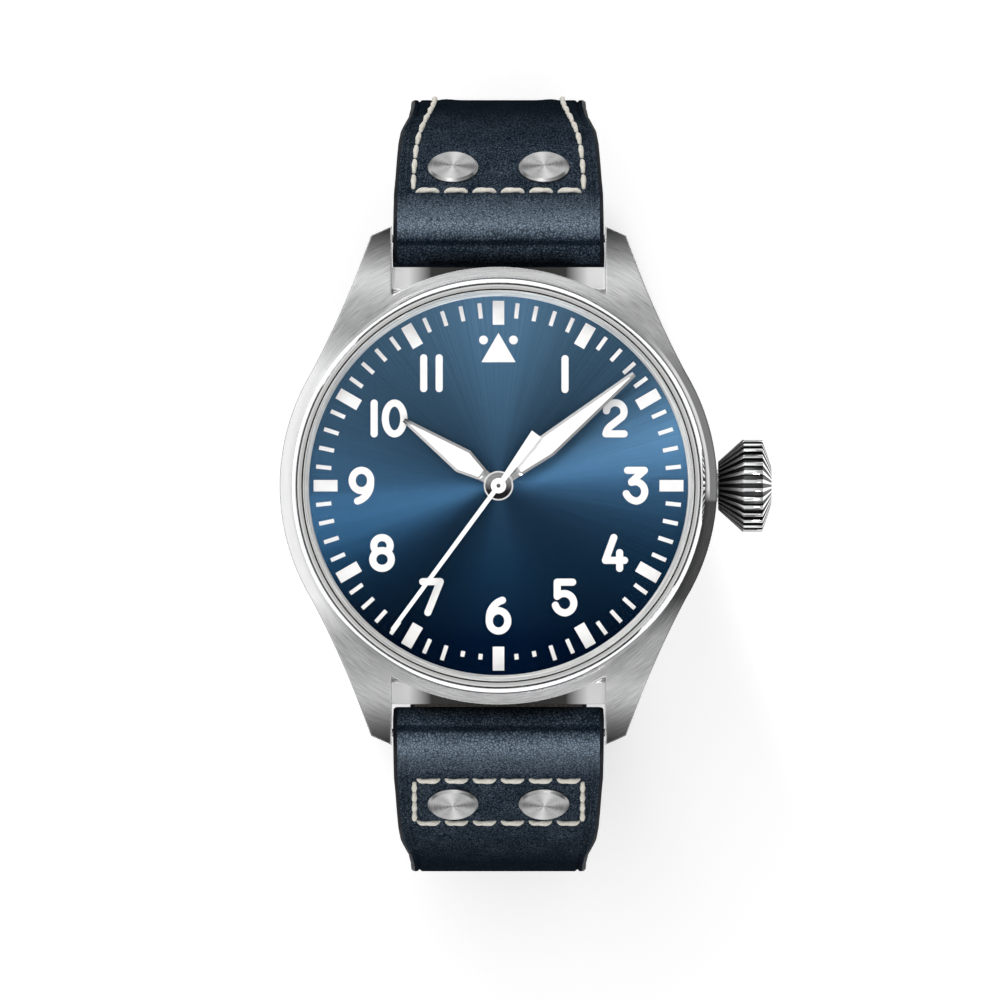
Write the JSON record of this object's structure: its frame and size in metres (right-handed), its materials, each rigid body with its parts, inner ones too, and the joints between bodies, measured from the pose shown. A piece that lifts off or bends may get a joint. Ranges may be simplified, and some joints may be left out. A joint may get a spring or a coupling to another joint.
{
  "type": "pilot wristwatch",
  "caption": "Round pilot wristwatch with a fluted crown, turning hands, see-through back with rotor, and a riveted leather strap with pin buckle and keepers.",
  "frame": {"origin": "on the dial's axis, in the plane that the flat bottom of the closed strap rests on", "axes": "+Z the way the dial faces, +Y towards twelve o'clock, +X towards the crown"},
  "size_m": [0.0484, 0.077, 0.0592],
  "materials": {
    "case_steel": "brushed with polished bevels",
    "polished_steel": "polished",
    "back_steel": "satin",
    "sapphire": "clear, polished",
    "gasket": "matt",
    "flange_grey": "finely turned",
    "dial_blue": "sunray brushed",
    "marking_white": "matt",
    "hand_steel": "polished with bevels",
    "hand_lume": "matt",
    "hand_white": "satin",
    "plate_nickel": "pearled",
    "bridge_nickel": "striped",
    "gear_brass": "satin",
    "gear_steel": "satin",
    "screw_blue": "polished blued",
    "ruby": "polished",
    "rotor_metal": "striped",
    "strap_leather": "pebbled",
    "rivet_steel": "brushed in circles",
    "buckle_steel": "satin"
  },
  "bodies": {
    "case": {"case_middle": "case_steel", "bezel": "polished_steel", "crystal": "sapphire", "crystal_gasket": "gasket", "flange_ring": "flange_grey", "dial": "dial_blue", "hour_markers": "marking_white", "minute_track": "marking_white", "dial_numerals": "marking_white", "case_back_ring": "back_steel", "case_back_crystal": "sapphire", "case_back_gasket": "gasket", "crown_tube": "gear_steel", "movement_ring": "plate_nickel", "main_plate": "plate_nickel", "barrel_bridge": "bridge_nickel", "train_bridge": "bridge_nickel", "balance_cock": "bridge_nickel", "pallet_bridge": "bridge_nickel", "automatic_bridge": "bridge_nickel", "bridge_screws": "screw_blue", "jewels": "ruby", "hairspring": "screw_blue", "rotor_bearing": "gear_steel", "spring_bar_tubes": "gear_steel"},
    "seconds": {"seconds_hand": "hand_white", "fourth_wheel": "gear_brass"},
    "minutes": {"minute_hand": "hand_steel", "minute_hand_lume": "hand_lume", "cannon_pinion": "gear_steel"},
    "hours": {"hour_hand": "hand_steel", "hour_hand_lume": "hand_lume", "hour_wheel": "gear_brass"},
    "minute_wheel": {"minute_wheel": "gear_brass"},
    "third_wheel": {"third_wheel": "gear_brass"},
    "great_wheel": {"great_wheel": "gear_brass"},
    "barrel": {"barrel": "gear_brass", "mainspring": "gear_steel"},
    "escape_wheel": {"escape_wheel": "gear_steel"},
    "pallet_fork": {"pallet_fork": "gear_steel"},
    "balance": {"balance_wheel": "gear_brass"},
    "rotor": {"rotor": "rotor_metal"},
    "crown_slider": {"crown_seal": "gasket"},
    "crown": {"crown": "polished_steel", "winding_stem": "gear_steel"},
    "crown_wheel": {"crown_wheel": "gear_steel"},
    "ratchet_wheel": {"ratchet_wheel": "gear_steel"},
    "upper_pin_left": {"upper_pin_left": "gear_steel"},
    "upper_pin_right": {"upper_pin_right": "gear_steel"},
    "lower_pin_left": {"lower_pin_left": "gear_steel"},
    "lower_pin_right": {"lower_pin_right": "gear_steel"},
    "strap_buckle_half": {"strap_buckle_half": "strap_leather", "upper_rivets": "rivet_steel", "fixed_keeper": "strap_leather", "buckle_bar": "gear_steel"},
    "strap_long_half": {"strap_long_half": "strap_leather", "lower_rivets": "rivet_steel"},
    "buckle_frame": {"buckle_frame": "buckle_steel"},
    "buckle_tang": {"buckle_tang": "buckle_steel"},
    "free_keeper": {"free_keeper": "strap_leather"}
  },
  "joints": [
    {"name": "seconds_turn", "type": "hinge", "parent": "case", "child": "seconds", "pos_m": [0, 0, 0.0558], "axis": [0, 0, -1], "continuous": true},
    {"name": "minutes_turn", "type": "hinge", "parent": "case", "child": "minutes", "pos_m": [0, 0, 0.0553], "axis": [0, 0, -1], "continuous": true},
    {"name": "hours_turn", "type": "hinge", "parent": "case", "child": "hours", "pos_m": [0, 0, 0.0547], "axis": [0, 0, -1], "continuous": true},
    {"name": "minute_wheel_turn", "type": "hinge", "parent": "case", "child": "minute_wheel", "pos_m": [0.00156, -0.0027, 0.0532], "axis": [0, 0, -1], "continuous": true},
    {"name": "third_wheel_turn", "type": "hinge", "parent": "case", "child": "third_wheel", "pos_m": [-0.00283, 0.00258, 0.0514], "axis": [0, 0, -1], "continuous": true},
    {"name": "great_wheel_turn", "type": "hinge", "parent": "case", "child": "great_wheel", "pos_m": [-0.00051, 0.00695, 0.0518], "axis": [0, 0, -1], "continuous": true},
    {"name": "barrel_turn", "type": "hinge", "parent": "case", "child": "barrel", "pos_m": [0.00522, 0.00745, 0.0506], "axis": [0, 0, -1], "continuous": true},
    {"name": "escape_wheel_turn", "type": "hinge", "parent": "case", "child": "escape_wheel", "pos_m": [-0.00128, -0.00351, 0.0514], "axis": [0, 0, -1], "continuous": true},
    {"name": "pallet_fork_rock", "type": "hinge", "parent": "case", "child": "pallet_fork", "pos_m": [-0.00364, -0.00482, 0.0514], "axis": [0, 0, -1], "range_deg": [-2, 2]},
    {"name": "balance_swing", "type": "hinge", "parent": "case", "child": "balance", "pos_m": [-0.0074, -0.0069, 0.0509], "axis": [0, 0, -1], "range_deg": [-140, 140], "stiffness_Nm_per_rad": 0.0000003},
    {"name": "rotor_turn", "type": "hinge", "parent": "case", "child": "rotor", "pos_m": [0, 0, 0.0485], "axis": [0, 0, -1], "continuous": true},
    {"name": "crown_pull", "type": "slide", "parent": "case", "child": "crown_slider", "axis": [1, 0, 0], "range_m": [0, 0.001]},
    {"name": "crown_turn", "type": "hinge", "parent": "crown_slider", "child": "crown", "pos_m": [0, 0, 0.0514], "axis": [1, 0, 0], "continuous": true},
    {"name": "crown_wheel_turn", "type": "hinge", "parent": "case", "child": "crown_wheel", "pos_m": [0.00981, 0.00424, 0.0497], "axis": [0, 0, -1], "continuous": true},
    {"name": "ratchet_wheel_turn", "type": "hinge", "parent": "case", "child": "ratchet_wheel", "pos_m": [0.00522, 0.00745, 0.0497], "axis": [0, 0, -1], "continuous": true},
    {"name": "upper_pin_left_press", "type": "slide", "parent": "case", "child": "upper_pin_left", "axis": [1, 0, 0], "range_m": [0, 0.001], "stiffness_N_per_m": 200},
    {"name": "upper_pin_right_press", "type": "slide", "parent": "case", "child": "upper_pin_right", "axis": [-1, 0, 0], "range_m": [0, 0.001], "stiffness_N_per_m": 200},
    {"name": "lower_pin_left_press", "type": "slide", "parent": "case", "child": "lower_pin_left", "axis": [1, 0, 0], "range_m": [0, 0.001], "stiffness_N_per_m": 200},
    {"name": "lower_pin_right_press", "type": "slide", "parent": "case", "child": "lower_pin_right", "axis": [-1, 0, 0], "range_m": [0, 0.001], "stiffness_N_per_m": 200},
    {"name": "strap_buckle_half_swing", "type": "hinge", "parent": "case", "child": "strap_buckle_half", "pos_m": [0, 0.02435, 0.049], "axis": [-1, 0, 0], "range_deg": [0, 25]},
    {"name": "strap_long_half_swing", "type": "hinge", "parent": "case", "child": "strap_long_half", "pos_m": [0, -0.02435, 0.049], "axis": [-1, 0, 0], "range_deg": [0, 60]},
    {"name": "buckle_frame_turn", "type": "hinge", "parent": "strap_buckle_half", "child": "buckle_frame", "pos_m": [0, 0.00432, 0.01384], "axis": [1, 0, 0], "range_deg": [-50, 20]},
    {"name": "buckle_tang_turn", "type": "hinge", "parent": "buckle_frame", "child": "buckle_tang", "pos_m": [0, 0.00432, 0.01384], "axis": [1, 0, 0], "range_deg": [0, 45]},
    {"name": "free_keeper_slide", "type": "hinge", "parent": "strap_buckle_half", "child": "free_keeper", "pos_m": [0, 0.0241, 0.022], "axis": [1, 0, 0], "range_deg": [0, 60]}
  ],
  "couplings": [
    {"joint": "minutes_turn", "follows": "seconds_turn", "ratio": 0.016667},
    {"joint": "hours_turn", "follows": "seconds_turn", "ratio": 0.0013889},
    {"joint": "minute_wheel_turn", "follows": "seconds_turn", "ratio": -0.0055556},
    {"joint": "third_wheel_turn", "follows": "seconds_turn", "ratio": -0.13333},
    {"joint": "great_wheel_turn", "follows": "seconds_turn", "ratio": 0.016667},
    {"joint": "barrel_turn", "follows": "seconds_turn", "ratio": -0.0025},
    {"joint": "escape_wheel_turn", "follows": "seconds_turn", "ratio": -10},
    {"joint": "crown_wheel_turn", "follows": "crown_turn", "ratio": 1},
    {"joint": "ratchet_wheel_turn", "follows": "crown_turn", "ratio": -0.65}
  ]
}
